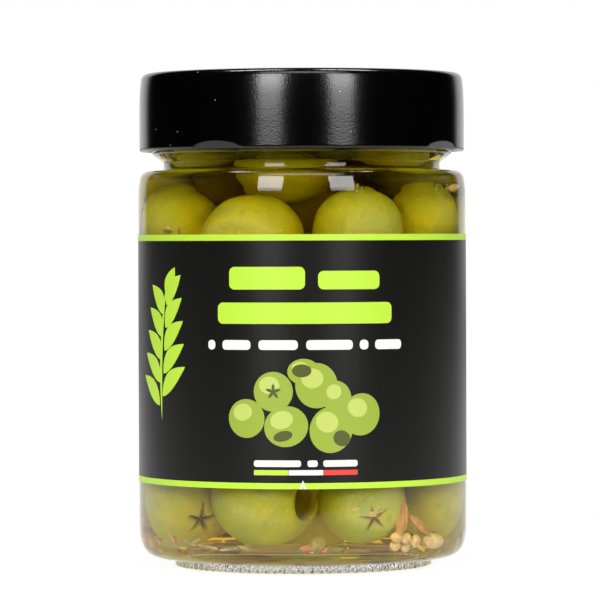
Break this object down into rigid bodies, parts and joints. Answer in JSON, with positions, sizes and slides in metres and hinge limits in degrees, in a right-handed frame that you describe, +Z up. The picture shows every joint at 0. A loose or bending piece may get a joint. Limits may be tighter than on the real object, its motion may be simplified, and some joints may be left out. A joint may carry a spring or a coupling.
{
  "type": "jar of olives",
  "caption": "Straight-sided glass jar with a deep twist-off lid and a wrap-round paper label, filled with green olives in spiced oil.",
  "frame": {"origin": "centre of the foot ring, on the surface the jar stands on", "axes": "+Z up along the axis of the jar, -Y towards the middle of the label"},
  "size_m": [0.0734, 0.0735, 0.1098],
  "materials": {
    "jar_glass": "clear blown glass, smooth and glossy",
    "lid_lacquer": "satin black lacquer on tinplate",
    "label_paper": "satin black printed paper",
    "oil": "yellow-green oil with olives and spices in it",
    "lime_ink": "satin lime print",
    "white_ink": "satin white print",
    "red_ink": "satin red print",
    "olive_flesh": "wet olive skin, yellow-green and speckled",
    "olive_ink": "satin olive-green print",
    "spice": "dry seeds and flakes"
  },
  "bodies": {
    "root": {"glass_jar": "jar_glass", "lid": "lid_lacquer", "label": "label_paper", "oil_and_olives": "oil"}
  },
  "joints": []
}
